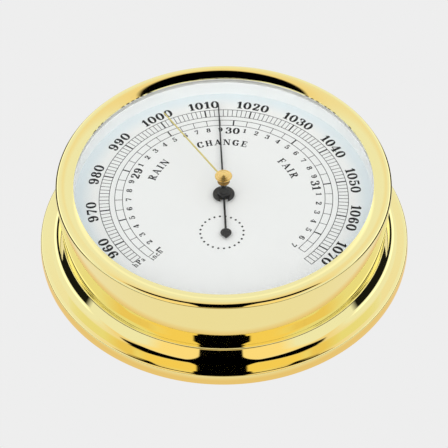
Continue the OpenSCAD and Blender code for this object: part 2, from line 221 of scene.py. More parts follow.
def add_ribbon(bm, left, right, z0, z1, closed=False):
    """A closed solid between two edges with the same number of points; a closed one is a ring."""
    rows = [[bm.verts.new((*p, z)) for p, z in ((a, z0), (b, z0), (b, z1), (a, z1))]
            for a, b in zip(left, right)]
    pairs = list(zip(rows, rows[1:] + rows[:1])) if closed else list(zip(rows, rows[1:]))
    for here, there in pairs:
        for i in range(4):
            j = (i + 1) % 4
            bm.faces.new((here[i], there[i], there[j], here[j]))
    if not closed:
        bm.faces.new(rows[0])
        bm.faces.new(rows[-1][::-1])


def bevelled(obj, width, segments=2):
    """Adds a small bevel to the object's sharp edges."""
    modifier = obj.modifiers.new("edge", "BEVEL")
    modifier.width = width * MM
    modifier.segments = segments
    modifier.limit_method = "ANGLE"
    modifier.angle_limit = math.radians(40)
    modifier.harden_normals = False
    return obj


def on_dial(angle, r):
    """The point at a clockwise angle from 12 o'clock and a radius."""
    a = math.radians(angle)
    return r * math.sin(a), r * math.cos(a)


# ---------------------------------------------------------------- procedural materials


class Nodes:
    """Short names for adding and joining the nodes of one tree."""

    def __init__(self, tree):
        self.tree = tree

    def add(self, kind, **settings):
        node = self.tree.nodes.new(kind)
        for key, value in settings.items():
            setattr(node, key, value)
        return node

    def link(self, a, b):
        self.tree.links.new(a, b)

    def math(self, operation, a, b=0.0):
        node = self.add("ShaderNodeMath", operation=operation)
        for socket, value in zip(node.inputs, (a, b)):
            if isinstance(value, bpy.types.NodeSocket):
                self.link(value, socket)
            else:
                socket.default_value = value
        return node.outputs[0]


class Shader(Nodes):
    """A material's node tree with short names for the nodes that the materials below use."""

    def __init__(self, name):
        self.material = bpy.data.materials.new(name)
        self.material.use_nodes = True
        super().__init__(self.material.node_tree)
        self.bsdf = self.tree.nodes["Principled BSDF"]
        self.output = self.tree.nodes["Material Output"]
        coordinates = self.add("ShaderNodeTexCoord")
        self.place = coordinates.outputs["Object"]

    def set(self, socket, value):
        """Gives a socket of the main shader a constant or another node's output."""
        target = self.bsdf.inputs[socket]
        if isinstance(value, bpy.types.NodeSocket):
            self.link(value, target)
        else:
            target.default_value = (*value, 1) if isinstance(value, tuple) else value

    def stretched(self, x, y, z):
        """The object's own coordinates, in metres, scaled on each axis."""
        node = self.add("ShaderNodeMapping")
        node.inputs["Scale"].default_value = (x, y, z)
        self.link(self.place, node.inputs["Vector"])
        return node.outputs[0]

    def turned(self, per_radius, per_height, around=1.0):
        """Coordinates that follow a lathe's tool marks: radius, height and a slow change round the axis."""
        split = self.add("ShaderNodeSeparateXYZ")
        self.link(self.place, split.inputs[0])
        x, y, z = split.outputs
        r = self.math("SQRT", self.math("ADD", self.math("MULTIPLY", x, x), self.math("MULTIPLY", y, y)))
        join = self.add("ShaderNodeCombineXYZ")
        self.link(self.math("MULTIPLY", r, per_radius), join.inputs[0])
        self.link(self.math("MULTIPLY", z, per_height), join.inputs[1])
        self.link(self.math("MULTIPLY", self.math("ARCTAN2", y, x), around), join.inputs[2])
        return join.outputs[0], r

    def noise(self, vector, scale=1.0, detail=4.0, roughness=0.5):
        node = self.add("ShaderNodeTexNoise")
        self.link(vector, node.inputs["Vector"])
        node.inputs["Scale"].default_value = scale
        node.inputs["Detail"].default_value = detail
        node.inputs["Roughness"].default_value = roughness
        return node.outputs["Fac"]

    def span(self, value, low, high, start=0.0, end=1.0):
        """Maps a value from start..end to low..high."""
        node = self.add("ShaderNodeMapRange")
        self.link(value, node.inputs["Value"])
        for key, number in zip(("From Min", "From Max", "To Min", "To Max"), (start, end, low, high)):
            node.inputs[key].default_value = number
        return node.outputs[0]

    def blend(self, factor, a, b):
        """Mixes two colours by a factor."""
        node = self.add("ShaderNodeMix", data_type="RGBA")
        self.link(factor, node.inputs["Factor"])
        for socket, colour in ((node.inputs["A"], a), (node.inputs["B"], b)):
            if isinstance(colour, bpy.types.NodeSocket):
                self.link(colour, socket)
            else:
                socket.default_value = (*colour, 1)
        return node.outputs["Result"]

    def bump(self, height, strength, distance):
        """Feeds a height to the main shader's normal; distance is in millimetres."""
        node = self.add("ShaderNodeBump")
        node.inputs["Strength"].default_value = strength
        node.inputs["Distance"].default_value = distance * MM
        self.link(height, node.inputs["Height"])
        self.link(node.outputs[0], self.bsdf.inputs["Normal"])


def polished_brass():
    """Mirror-polished, lacquered brass with a slight drift of colour and faint polishing haze."""
    s = Shader("polished_brass")
    drift = s.noise(s.place, 45.0, 3.0)
    haze = s.noise(s.stretched(300, 300, 900), 1.0, 6.0, 0.6)
    s.set("Base Color", s.blend(drift, (0.93, 0.84, 0.385), (0.935, 0.86, 0.42)))
    s.set("Metallic", 1.0)
    s.set("Roughness", s.span(haze, 0.018, 0.05, 0.35, 0.7))
    s.set("Coat Weight", 0.15)
    s.set("Coat Roughness", 0.02)
    return s.material


def turned_brass(name, light, dark, rough=(0.2, 0.34)):
    """Satin brass with the fine circles that facing on a lathe leaves."""
    s = Shader(name)
    marks, _ = s.turned(9000, 9000, 0.6)
    grain = s.noise(marks, 1.0, 5.0, 0.6)
    patina = s.noise(s.place, 60.0, 4.0)
    s.set("Base Color", s.blend(s.span(patina, 0.0, 1.0, 0.35, 0.65), dark, light))
    s.set("Metallic", 1.0)
    s.set("Roughness", s.span(grain, *rough, 0.3, 0.7))
    s.bump(grain, 0.25, 0.01)
    return s.material


def grained_metal(name, light, dark, rough=(0.2, 0.36), stretch=(400, 6000, 6000)):
    """Rolled or ground metal with a fine straight grain."""
    s = Shader(name)
    grain = s.noise(s.stretched(*stretch), 1.0, 5.0, 0.6)
    s.set("Base Color", s.blend(grain, dark, light))
    s.set("Metallic", 1.0)
    s.set("Roughness", s.span(grain, *rough, 0.3, 0.7))
    s.bump(grain, 0.2, 0.008)
    return s.material


def dial_paint():
    """Matt white dial paint with a very fine grain and a painted bluish shade towards the rim."""
    s = Shader("dial_paint")
    _, r = s.turned(1.0, 1.0)
    grain = s.noise(s.place, 2500.0, 3.0)
    patch = s.noise(s.place, 25.0, 2.0)
    # painted shade: the white turns a darker blue-grey over the last 5 mm towards the rim
    rim = s.span(r, 0.0, 1.0, 52.5 * MM, 57.5 * MM)
    white = s.blend(patch, (0.875, 0.88, 0.88), (0.895, 0.895, 0.89))
    s.set("Base Color", s.blend(s.math("MULTIPLY", rim, 0.75), white, (0.74, 0.83, 0.88)))
    s.set("Roughness", s.span(grain, 0.5, 0.62))
    s.set("Specular IOR Level", 0.3)
    s.bump(grain, 0.08, 0.01)
    return s.material


def white_enamel():
    """Satin white paint of the ring between the dial and the glass."""
    s = Shader("white_enamel")
    grain = s.noise(s.place, 900.0, 4.0)
    s.set("Base Color", s.blend(grain, (0.95, 0.955, 0.955), (0.975, 0.975, 0.97)))
    s.set("Roughness", s.span(grain, 0.35, 0.5))
    s.bump(grain, 0.05, 0.01)
    return s.material


def printing_ink():
    """Black printing ink, a little uneven in density."""
    s = Shader("printing_ink")
    density = s.noise(s.place, 1800.0, 4.0)
    s.set("Base Color", s.blend(density, (0.008, 0.008, 0.01), (0.022, 0.022, 0.026)))
    s.set("Roughness", s.span(density, 0.45, 0.7))
    s.set("Specular IOR Level", 0.25)
    return s.material


def hand_black():
    """Satin black lacquer of the indicating hand."""
    s = Shader("hand_black")
    speckle = s.noise(s.place, 3000.0, 3.0)
    s.set("Base Color", s.blend(speckle, (0.010, 0.011, 0.014), (0.024, 0.026, 0.03)))
    s.set("Roughness", s.span(speckle, 0.28, 0.42))
    s.bump(speckle, 0.08, 0.006)
    return s.material


def clear_rubber():
    """Whitish soft ring under the lip."""
    s = Shader("clear_rubber")
    cloud = s.noise(s.place, 500.0, 3.0)
    s.set("Base Color", s.blend(cloud, (0.93, 0.93, 0.92), (0.96, 0.96, 0.95)))
    s.set("Roughness", s.span(cloud, 0.35, 0.5))
    return s.material


def clear_glass():
    """Flat clear glass: see-through, with a weak reflection that rises towards grazing views."""
    s = Shader("clear_glass")
    s.tree.nodes.remove(s.bsdf)
    facing = s.add("ShaderNodeFresnel")
    facing.inputs["IOR"].default_value = 1.12
    wipe = s.noise(s.stretched(60, 20, 60), 1.0, 3.0)
    through = s.add("ShaderNodeBsdfTransparent")
    s.link(s.blend(wipe, (0.985, 0.993, 0.992), (0.995, 0.998, 0.998)), through.inputs["Color"])
    shine = s.add("ShaderNodeBsdfGlossy")
    shine.inputs["Color"].default_value = (0.95, 0.97, 1.0, 1)
    s.link(s.span(wipe, 0.01, 0.03), shine.inputs["Roughness"])
    mix = s.add("ShaderNodeMixShader")
    s.link(s.math("MULTIPLY", facing.outputs[0], 0.6), mix.inputs[0])
    s.link(through.outputs[0], mix.inputs[1])
    s.link(shine.outputs[0], mix.inputs[2])
    s.link(mix.outputs[0], s.output.inputs["Surface"])
    return s.material


BRASS = polished_brass()
COVER_BRASS = turned_brass("satin_brass", (0.90, 0.76, 0.36), (0.84, 0.68, 0.30), (0.16, 0.28))
MOVEMENT_BRASS = grained_metal("movement_brass", (0.86, 0.70, 0.36), (0.74, 0.58, 0.28))
KNOB_BRASS = turned_brass("knob_brass", (0.90, 0.66, 0.26), (0.84, 0.58, 0.20), (0.2, 0.3))
# painted shade: the boss's brass is a dark brown that stands for the shade under the knob's cap
SHADED_BOSS_BRASS = turned_brass("boss_brass_painted_shade", (0.34, 0.22, 0.08), (0.26, 0.16, 0.05), (0.25, 0.4))
HAND_BRASS = grained_metal("hand_brass", (0.78, 0.70, 0.28), (0.68, 0.60, 0.22), (0.3, 0.4))
CAPSULE_METAL = turned_brass("capsule_metal", (0.80, 0.62, 0.44), (0.70, 0.50, 0.34), (0.26, 0.4))
STEEL = grained_metal("steel", (0.72, 0.73, 0.75), (0.58, 0.59, 0.61), stretch=(5000, 5000, 500))
SPRING_STEEL = grained_metal("spring_steel", (0.34, 0.38, 0.50), (0.22, 0.25, 0.36))
DIAL_PAINT = dial_paint()
ENAMEL = white_enamel()
INK = printing_ink()
HAND_BLACK = hand_black()
RUBBER = clear_rubber()
GLASS = clear_glass()

CAD_MATERIALS = {
    "polished_brass": BRASS,
    "clear_glass": GLASS,
    "clear_gasket": RUBBER,
    "white_enamel": ENAMEL,
    "printed_dial": DIAL_PAINT,
    "black_hand": HAND_BLACK,
    "movement_brass": MOVEMENT_BRASS,
    "capsule_metal": CAPSULE_METAL,
    "steel": STEEL,
    "spring_steel": SPRING_STEEL,
}
NODE_MATERIALS = {
    "rear_cover": COVER_BRASS,
    "rear_cover_screws": COVER_BRASS,
    "set_bush": GLASS,
}

for part in frame["record"]["subparts"]:
    chosen = NODE_MATERIALS.get(part["node"], CAD_MATERIALS[part["material_slot"]])
    cad_mesh = frame["nodes"][part["node"]].data
    cad_mesh.materials.clear()
    cad_mesh.materials.append(chosen)


def fit(obj, body, slot, *nodes):
    """The piece rides on a body and stands for the given CAD nodes. The slot is not used."""
    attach(obj, body)
    if nodes:
        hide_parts(*nodes)
    return obj


# ---------------------------------------------------------------- case


def case_shell():
    """Flange with its rounded edge, the hollow above it and the spigot inside the bezel."""
    outline = rounded([
        (52, 2, 0), (55, 2, 0), (55, 0, 0), (FLANGE_R - 0.2, 0, 0.5), (FLANGE_R, 2.4, 0),
        (FLANGE_R - 0.25, FLANGE_H - 0.18, 0.8), (FLANGE_R - 1.7, FLANGE_H, 1),
        (FOOT_R + HOLLOW_W, FLANGE_H + 0.05, 4), (FOOT_R, HOLLOW_Z, 2.2),
        (FOOT_R, SEAM_Z - 0.1, 0), (FOOT_R - 0.6, SEAM_Z - 0.1, 0),
        (FOOT_R - 0.6, SEAM_Z, 0), (SPIGOT_R, SEAM_Z, 0), (SPIGOT_R, SEAT_Z, 0),
        (SPIGOT_R - 1.9, SEAT_Z, 0), (SPIGOT_R - 1.9, 4, 0.6), (52, 4, 0)])
    return fit(lathe("case_shell", supported(outline), BRASS, 360), CASE, "polished_brass", "case_body")


def bezel_shell():
    """Nearly upright wall and the broad crowned lip over the glass."""
    crown = BEZEL_R - RIM_ROUND - 0.4 - OPENING_R
    outline = [(BEZEL_BORE_R, SEAM_Z), (FOOT_R, SEAM_Z)]
    outline += arc(BEZEL_R - RIM_ROUND, CASE_H - RIM_ROUND, RIM_ROUND, -3, 86, 16)
    outline += [(OPENING_R + crown * (1 - i / 16), CASE_H - (i / 16) ** 2) for i in range(17)]
    outline += [(OPENING_R, LIP_Z), (BEZEL_BORE_R, LIP_Z)]
    return fit(lathe("bezel_shell", supported(outline), BRASS, 360), CASE, "polished_brass", "bezel")


def white_ring():
    """White ring that holds the glass off the dial, its top edge eased."""
    inner = OPENING_R + 0.2
    outline = rounded([(GLASS_R, DIAL_Z, 0), (GLASS_R, GLASS_Z, 0),
                       (inner, GLASS_Z, 0.3), (inner, DIAL_Z, 0)])
    return fit(lathe("white_ring", supported(outline), ENAMEL, 360), CASE, "white_enamel", "rehaut_ring")


def gasket():
    """Soft ring between the glass and the lip."""
    outline = rounded([(GLASS_R, GLASS_TOP_Z, 0), (GLASS_R, LIP_Z, 0), (OPENING_R + 0.1, LIP_Z, 0.15),
                       (OPENING_R + 0.1, GLASS_TOP_Z, 0.15)], 4)
    return fit(lathe("gasket", outline, RUBBER), CASE, "clear_gasket", "glass_gasket")


def glass_pane():
    """Flat glass with eased edges and the hole for the set hand's bush."""
    outline = rounded([(GLASS_R, GLASS_Z, 0.2), (GLASS_R, GLASS_TOP_Z, 0.2), (1.6, GLASS_TOP_Z, 0.1),
                       (1.6, GLASS_Z, 0.1)], 4)
    return fit(lathe("glass_pane", supported(outline), GLASS), CASE, "clear_glass", "front_glass")


def dial_face():
    """Painted dial plate with a softened rim and the hole for the pointer's arbor."""
    seat = heights_of("dial_plate")[0]
    outline = rounded([(DIAL_R, seat, 0), (DIAL_R, DIAL_Z, 0.2), (2, DIAL_Z, 0.15), (2, seat, 0)], 4)
    return fit(lathe("dial_face", supported(outline), DIAL_PAINT), CASE, "printed_dial", "dial_plate")


# ---------------------------------------------------------------- lettering
# Glyphs are drawn by a pen in units of the capital height, from x = 0, standing on y = 0. The pen is broad on
# upright strokes and fine on level ones, as in the numerals of old instrument dials.

THICK = 0.262
THIN = 0.095


def flow(points, closed=False, steps=7):
    """A smooth curve through the points (Catmull-Rom)."""
    pts = [Vector(p) for p in points]
    n = len(pts)
    if closed:
        spans = [(pts[i - 1], pts[i], pts[(i + 1) % n], pts[(i + 2) % n]) for i in range(n)]
    else:
        pts = [pts[0] * 2 - pts[1]] + pts + [pts[-1] * 2 - pts[-2]]
        spans = [pts[i:i + 4] for i in range(n - 1)]
    out = []
    for a, b, c, d in spans:
        for k in range(steps):
            t = k / steps
            out.append(0.5 * (2 * b + (c - a) * t + (2 * a - 5 * b + 4 * c - d) * t * t
                              + (3 * b - a - 3 * c + d) * t ** 3))
    return out if closed else out + [pts[-2]]


def pen(points, closed=False, thick=THICK, thin=THIN):
    """A pen stroke along a smooth curve: its left and right edges, and whether it closes on itself."""
    path = flow(points, closed)
    n = len(path)
    left, right = [], []
    for i, p in enumerate(path):
        ahead = path[(i + 1) % n] if closed or i + 1 < n else p
        behind = path[i - 1] if closed or i > 0 else p
        d = (ahead - behind).normalized()
        half = (thin + (thick - thin) * abs(d.y) ** 1.6) / 2
        side = Vector((-d.y, d.x)) * half
        left.append(p + side)
        right.append(p - side)
    return left, right, closed


def bar(x0, y0, x1, y1, w0, w1=None):
    """A straight stroke between two points, of one width or tapering."""
    a, b = Vector((x0, y0)), Vector((x1, y1))
    d = (b - a).normalized()
    side = Vector((-d.y, d.x)) / 2
    w1 = w0 if w1 is None else w1
    return [a + side * w0, b + side * w1], [a - side * w0, b - side * w1], False


def ball(x, y, r):
    """The round end of a curl."""
    ring = [Vector(p) for p in arc(x, y, r, 90, 90 + 180, 8)]
    other = [Vector(p) for p in arc(x, y, r, 90, 90 - 180, 8)]
    return other[1:-1], ring[1:-1], False


def stem(x, y0=0.0, y1=1.0, w=THICK):
    return bar(x, y0, x, y1, w)


def foot(x, y, half=0.21):
    """A level serif centred on x, inside the capital height."""
    level = THIN / 2 if y < 0.5 else y - THIN / 2
    return bar(x - half, level, x + half, level, THIN)


def oval(x, y, rx, ry):
    return pen([(x + rx * math.cos(math.radians(a)), y + ry * math.sin(math.radians(a)))
                for a in range(0, 360, 30)], True)


SIX = [pen([(0.66, 0.78), (0.56, 0.93), (0.44, 0.955), (0.27, 0.84), (0.165, 0.5), (0.27, 0.13), (0.45, 0.04),
            (0.64, 0.14), (0.68, 0.31), (0.60, 0.50), (0.44, 0.56), (0.28, 0.48)]),
       ball(0.64, 0.77, 0.1)]


def half_turned(strokes, x, y):
    """The strokes turned half round about a point."""
    middle = Vector((2 * x, 2 * y))
    return [([middle - p for p in left], [middle - p for p in right], closed)
            for left, right, closed in strokes]


GLYPHS = {
    "0": (0.84, [oval(0.42, 0.5, 0.285, 0.46)]),
    "1": (0.6, [stem(0.34), bar(0.07, 0.74, 0.36, 0.97, THIN, 0.13), foot(0.34, 0, 0.25)]),
    "2": (0.8, [ball(0.2, 0.73, 0.11),
                pen([(0.13, 0.75), (0.24, 0.92), (0.42, 0.96), (0.6, 0.86), (0.62, 0.68),
                     (0.46, 0.42), (0.14, 0.1)]),
                bar(0.1, 0.09, 0.7, 0.09, 0.18), bar(0.68, 0.03, 0.72, 0.3, THIN)]),
    "3": (0.8, [ball(0.19, 0.78, 0.105), ball(0.17, 0.23, 0.115),
                pen([(0.13, 0.82), (0.25, 0.94), (0.4, 0.96), (0.58, 0.88), (0.6, 0.72),
                     (0.52, 0.58), (0.32, 0.53)]),
                pen([(0.32, 0.53), (0.56, 0.48), (0.66, 0.3), (0.58, 0.1), (0.38, 0.04),
                     (0.2, 0.07), (0.1, 0.2)])]),
    "4": (0.84, [stem(0.54), bar(0.5, 0.97, 0.06, 0.3, THIN, THIN), bar(0.04, 0.28, 0.8, 0.28, THIN),
                 foot(0.54, 0, 0.22)]),
    "5": (0.8, [bar(0.18, 0.91, 0.66, 0.91, 0.18), bar(0.19, 0.97, 0.17, 0.5, THIN), ball(0.18, 0.22, 0.11),
                pen([(0.17, 0.52), (0.36, 0.6), (0.58, 0.52), (0.655, 0.32), (0.57, 0.11), (0.38, 0.04),
                     (0.2, 0.08), (0.12, 0.2)])]),
    "6": (0.84, SIX),
    "7": (0.8, [bar(0.12, 0.89, 0.72, 0.89, 0.2), bar(0.11, 0.68, 0.14, 0.98, THIN),
                bar(0.7, 0.9, 0.36, 0.02, THIN, 0.26)]),
    "8": (0.82, [oval(0.41, 0.735, 0.2, 0.225), oval(0.41, 0.27, 0.255, 0.235)]),
    "9": (0.84, half_turned(SIX, 0.42, 0.5)),
    "A": (0.92, [bar(0.13, 0, 0.43, 1, THIN), bar(0.4, 1, 0.76, 0, 0.21), bar(0.23, 0.32, 0.66, 0.32, THIN),
                 foot(0.13, 0, 0.14), foot(0.76, 0, 0.17)]),
    "C": (0.88, [pen([(0.74, 0.7), (0.66, 0.89), (0.48, 0.965), (0.27, 0.86), (0.17, 0.5), (0.27, 0.14),
                      (0.48, 0.035), (0.68, 0.11), (0.77, 0.28)]), bar(0.755, 0.66, 0.755, 1, 0.06)]),
    "E": (0.86, [stem(0.26, w=0.21), bar(0.06, 0.965, 0.72, 0.965, THIN),
                 bar(0.06, 0.035, 0.74, 0.035, THIN),
                 bar(0.26, 0.51, 0.58, 0.51, THIN), bar(0.71, 1, 0.71, 0.7, 0.07),
                 bar(0.75, 0, 0.75, 0.32, 0.07),
                 bar(0.57, 0.38, 0.57, 0.64, 0.07)]),
    "F": (0.82, [stem(0.26, w=0.21), bar(0.06, 0.965, 0.72, 0.965, THIN), foot(0.26, 0, 0.2),
                 bar(0.26, 0.5, 0.56, 0.5, THIN), bar(0.71, 1, 0.71, 0.7, 0.07),
                 bar(0.56, 0.37, 0.56, 0.63, 0.07)]),
    "G": (0.94, [pen([(0.72, 0.72), (0.65, 0.89), (0.48, 0.965), (0.27, 0.86), (0.17, 0.5), (0.27, 0.14),
                      (0.48, 0.035), (0.64, 0.08), (0.72, 0.16)]), stem(0.72, 0.05, 0.42, 0.19),
                 bar(0.54, 0.42, 0.9, 0.42, THIN), bar(0.735, 0.68, 0.735, 1, 0.06)]),
    "H": (1.0, [stem(0.25, w=0.21), stem(0.75, w=0.21), bar(0.25, 0.51, 0.75, 0.51, THIN),
                foot(0.25, 0, 0.19), foot(0.75, 0, 0.19), foot(0.25, 1, 0.19), foot(0.75, 1, 0.19)]),
    "I": (0.5, [stem(0.25, w=0.21), foot(0.25, 0, 0.19), foot(0.25, 1, 0.19)]),
    "N": (0.96, [bar(0.17, 0, 0.17, 1, THIN), bar(0.2, 1, 0.78, 0, 0.21), bar(0.79, 0, 0.79, 1, THIN),
                 foot(0.17, 0, 0.14), foot(0.12, 1, 0.11), foot(0.79, 1, 0.14)]),
    "P": (0.84, [stem(0.26, w=0.21), foot(0.26, 0, 0.2), bar(0.06, 0.965, 0.3, 0.965, THIN),
                 pen([(0.28, 0.965), (0.56, 0.93), (0.68, 0.74), (0.56, 0.54), (0.28, 0.5)])]),
    "R": (0.94, [stem(0.26, w=0.21), foot(0.26, 0, 0.2), bar(0.06, 0.965, 0.3, 0.965, THIN),
                 pen([(0.28, 0.965), (0.56, 0.93), (0.66, 0.75), (0.54, 0.56), (0.28, 0.52)]),
                 bar(0.45, 0.54, 0.72, 0.03, 0.2), foot(0.76, 0, 0.14)]),
    "a": (0.6, [pen([(0.13, 0.52), (0.26, 0.64), (0.4, 0.52), (0.4, 0.1)], thick=0.15),
                pen([(0.38, 0.36), (0.16, 0.26), (0.13, 0.12), (0.24, 0.04), (0.38, 0.14)], thick=0.13),
                bar(0.4, 0.04, 0.54, 0.04, THIN)]),
    "c": (0.54, [pen([(0.44, 0.5), (0.3, 0.63), (0.14, 0.5), (0.11, 0.33), (0.16, 0.12), (0.3, 0.035),
                      (0.46, 0.16)], thick=0.15), ball(0.42, 0.5, 0.07)]),
    "h": (0.68, [stem(0.17, w=0.15), foot(0.17, 0, 0.14), bar(0.04, 0.965, 0.17, 0.965, THIN),
                 pen([(0.2, 0.5), (0.34, 0.64), (0.5, 0.5), (0.5, 0.02)], thick=0.15), foot(0.5, 0, 0.14)]),
    "i": (0.36, [stem(0.18, 0, 0.64, 0.15), foot(0.18, 0, 0.14), bar(0.04, 0.61, 0.2, 0.61, THIN),
                 ball(0.18, 0.88, 0.09)]),
    "n": (0.7, [stem(0.17, 0, 0.64, 0.15), foot(0.17, 0, 0.14), bar(0.04, 0.61, 0.17, 0.61, THIN),
                pen([(0.2, 0.5), (0.35, 0.64), (0.51, 0.5), (0.51, 0.02)], thick=0.15), foot(0.51, 0, 0.14)]),
}


def print_glyph(bm, char, height, place):
    """Prints one glyph; place turns (x, y) in millimetres into a point on the dial."""
    for left, right, closed in GLYPHS[char][1]:
        a = [place(p.x * height, p.y * height) for p in left]
        b = [place(p.x * height, p.y * height) for p in right]
        add_ribbon(bm, a, b, DIAL_Z - INK_H, DIAL_Z + INK_H, closed)


def print_round(bm, text, centre, r, height, spacing=0.1):
    """Prints text on an arc, its feet towards the dial's centre, centred on a clockwise angle."""
    widths = [(GLYPHS[c][0] + spacing) * height for c in text]
    middle_r = r + height / 2
    along = -sum(widths) / 2
    for char, width in zip(text, widths):
        angle = math.radians(centre) + (along + width / 2) / middle_r
        outward = Vector((math.sin(angle), math.cos(angle)))
        across = Vector((math.cos(angle), -math.sin(angle)))
        start = outward * r - across * (width - spacing * height) / 2

        def place(x, y):
            return tuple(start + across * x + outward * y)

        print_glyph(bm, char, height, place)
        along += width


def print_inward(bm, text, angle, r, height, spacing=0.1):
    """Prints text that runs towards the dial's centre, starting at a radius on a clockwise angle."""
    along = Vector(on_dial(angle, -1))
    upward = Vector((-along.y, along.x))
    start = Vector(on_dial(angle, r))
    for char in text:

        def place(x, y):
            return tuple(start + along * x + upward * y)

        print_glyph(bm, char, height, place)
        start = start + along * (GLYPHS[char][0] + spacing) * height


# ---------------------------------------------------------------- dial printing


def hpa_angle(hpa):
    return (hpa - HPA_AT_TOP) * DEGREES_PER_HPA


def inch_angle(tenths):
    return (tenths / 10 - INCH_AT_TOP) * DEGREES_PER_INCH


def print_rail(bm, r, start, end, width=RAIL_W):
    """A printed arc line centred on a radius."""
    steps = 120
    angles = [start + (end - start) * i / steps for i in range(steps + 1)]
    add_ribbon(bm, [on_dial(a, r + width / 2) for a in angles], [on_dial(a, r - width / 2) for a in angles],
               DIAL_Z - INK_H, DIAL_Z + INK_H)


def print_tick(bm, angle, r0, r1, width):
    """A printed radial line."""
    across = Vector(on_dial(angle + 90, width / 2))
    low, high = Vector(on_dial(angle, r0)), Vector(on_dial(angle, r1))
    add_ribbon(bm, [low - across, high - across], [low + across, high + across],
               DIAL_Z - INK_H, DIAL_Z + INK_H)


def print_scale(bm, rails, marks):
    """Two rails closed at both ends, with a line for each (angle, is heavy) mark."""
    low, high = rails
    for r in rails:
        print_rail(bm, r, marks[0][0], marks[-1][0])
    for angle, heavy in marks:
        print_tick(bm, angle, low, high, THICK_TICK_W if heavy else THIN_TICK_W)


def dial_scales():
    bm = bmesh.new()
    print_scale(bm, HPA_RAILS, [(hpa_angle(v), v % 10 == 0) for v in range(HPA_RANGE[0], HPA_RANGE[1] + 1)])
    tenths = range(INCH_TENTHS[0], INCH_TENTHS[1] + 1)
    print_scale(bm, INCH_RAILS, [(inch_angle(v), v % 5 == 0) for v in tenths])
    return fit(add_object("dial_scales", bm, INK), CASE, "printed_dial")


def dial_numbers():
    bm = bmesh.new()
    for hpa in range(960, 1080, 10):
        print_round(bm, str(hpa), hpa_angle(hpa), HPA_NUMBER_R, HPA_NUMBER_H)
    for tenths in range(INCH_TENTHS[0], INCH_TENTHS[1] + 1):
        inch, tenth = divmod(tenths, 10)
        if tenth:
            print_round(bm, str(tenth), inch_angle(tenths), TENTH_R, TENTH_H)
        else:
            print_round(bm, str(inch), inch_angle(tenths), INCH_NUMBER_R, INCH_NUMBER_H)
    return fit(add_object("dial_numbers", bm, INK), CASE, "printed_dial")


def dial_words():
    """Weather words and the names of the units."""
    bm = bmesh.new()
    for word, angle in (("RAIN", -62.8), ("CHANGE", -3.3), ("FAIR", 57.3)):
        print_round(bm, word, angle, WORD_R, WORD_H, 0.2)
    print_inward(bm, "hPa", -140.4, 51.2, 2.4)
    print_inward(bm, "inch", -143.6, 44.2, 2.4)
    return fit(add_object("dial_words", bm, INK), CASE, "printed_dial")


def dial_ornament():
    """A plain ring of dots round the tail's weight."""
    bm = bmesh.new()
    centre = Vector((0, -19.7))
    dots = 24
    for k in range(dots):
        spot = centre + Vector(on_dial(360 * (k + 0.5) / dots, 8.6))
        add_prism(bm, arc(spot.x, spot.y, 0.45, 0, 330, 11), DIAL_Z - INK_H, DIAL_Z + INK_H)
    return fit(add_object("dial_ornament", bm, INK), CASE, "printed_dial")


# ---------------------------------------------------------------- hands


def turned_to(points, angle):
    """Points drawn for a hand at 12 o'clock, turned clockwise."""
    turn = Matrix.Rotation(-math.radians(angle), 2)
    return [tuple(turn @ Vector(p)) for p in points]


def indicating_hand():
    """Tapering arm, hub disc with two notches, and a tail that ends in a round weight with a point."""
    weight_y = -21
    half = 0.42
    outline = [(half, -2.7), (1.52, -2.7), (1.52, -4.13)]
    outline += arc(0, 0, 4.4, -69.8, 84.8, 30)
    outline += [(0.25, POINTER_LEN - 2), (0, POINTER_LEN), (-0.25, POINTER_LEN - 2)]
    outline += arc(0, 0, 4.4, 95.2, 249.8, 30)
    outline += [(-1.52, -2.7), (-half, -2.7)]
    outline += arc(0, weight_y, 2.2, 101, 220, 16)
    outline += [(-0.25, weight_y - 2.8), (0, weight_y - 2.9), (0.25, weight_y - 2.8)]
    outline += arc(0, weight_y, 2.2, -40, 79, 16)
    bm = bmesh.new()
    add_prism(bm, turned_to(outline, POINTER_ANGLE), POINTER_Z, POINTER_TOP_Z)
    hand = bevelled(add_object("indicating_hand", bm, HAND_BLACK), 0.06)
    return fit(hand, "pointer_body", "black_hand", "pointer")


def indicating_hub():
    """Raised hub with a turned step, over the socket that grips the arbor."""
    outline = rounded([
        (0, HUB_Z, 0), (1.4, HUB_Z, 0), (1.4, POINTER_Z + 0.1, 0), (2.5, POINTER_Z + 0.1, 0),
        (2.5, HUB_TOP_Z, 0.2), (2.15, HUB_TOP_Z, 0.1), (2.0, HUB_TOP_Z - 0.3, 0.1),
        (1.35, HUB_TOP_Z - 0.3, 0.1), (1.25, HUB_TOP_Z - 0.05, 0.1), (0.6, HUB_TOP_Z - 0.05, 0.1),
        (0, HUB_TOP_Z - 0.25, 0)], 4)
    return fit(lathe("indicating_hub", outline, HAND_BLACK, 96), "pointer_body", "black_hand", "pointer_hub")


def setting_hand():
    """Thin brass hand over the glass, with bevelled edges."""
    bm = bmesh.new()
    ring = arc(0, 0, 2.4, 80.9, -260.9, 44)
    outline = ring + [(-0.3, SET_HAND_LEN - 1), (0, SET_HAND_LEN), (0.3, SET_HAND_LEN - 1)]
    add_prism(bm, turned_to(outline, SET_HAND_ANGLE), SET_HAND_Z, SET_HAND_TOP_Z)
    hand = bevelled(add_object("setting_hand", bm, HAND_BRASS), 0.1)
    return fit(hand, "set_hand_body", "polished_brass", "set_hand")


def setting_boss():
    """Waisted boss under the set hand, its brass darkened as painted shade under the knob's cap."""
    outline = rounded([
        (0.8, BOSS_Z, 0), (2.5, BOSS_Z, 0.15), (2.5, BOSS_Z + 0.45, 0.1), (2.2, BOSS_Z + 0.7, 0.3),
        (2.2, SET_HAND_Z - 0.2, 0.3), (2.5, SET_HAND_Z - 0.05, 0.05), (2.5, SET_HAND_Z, 0),
        (0.8, SET_HAND_Z, 0)], 5)
    boss = lathe("setting_boss", outline, SHADED_BOSS_BRASS, 96)
    return fit(boss, "set_hand_body", "polished_brass", "set_hand_collar")


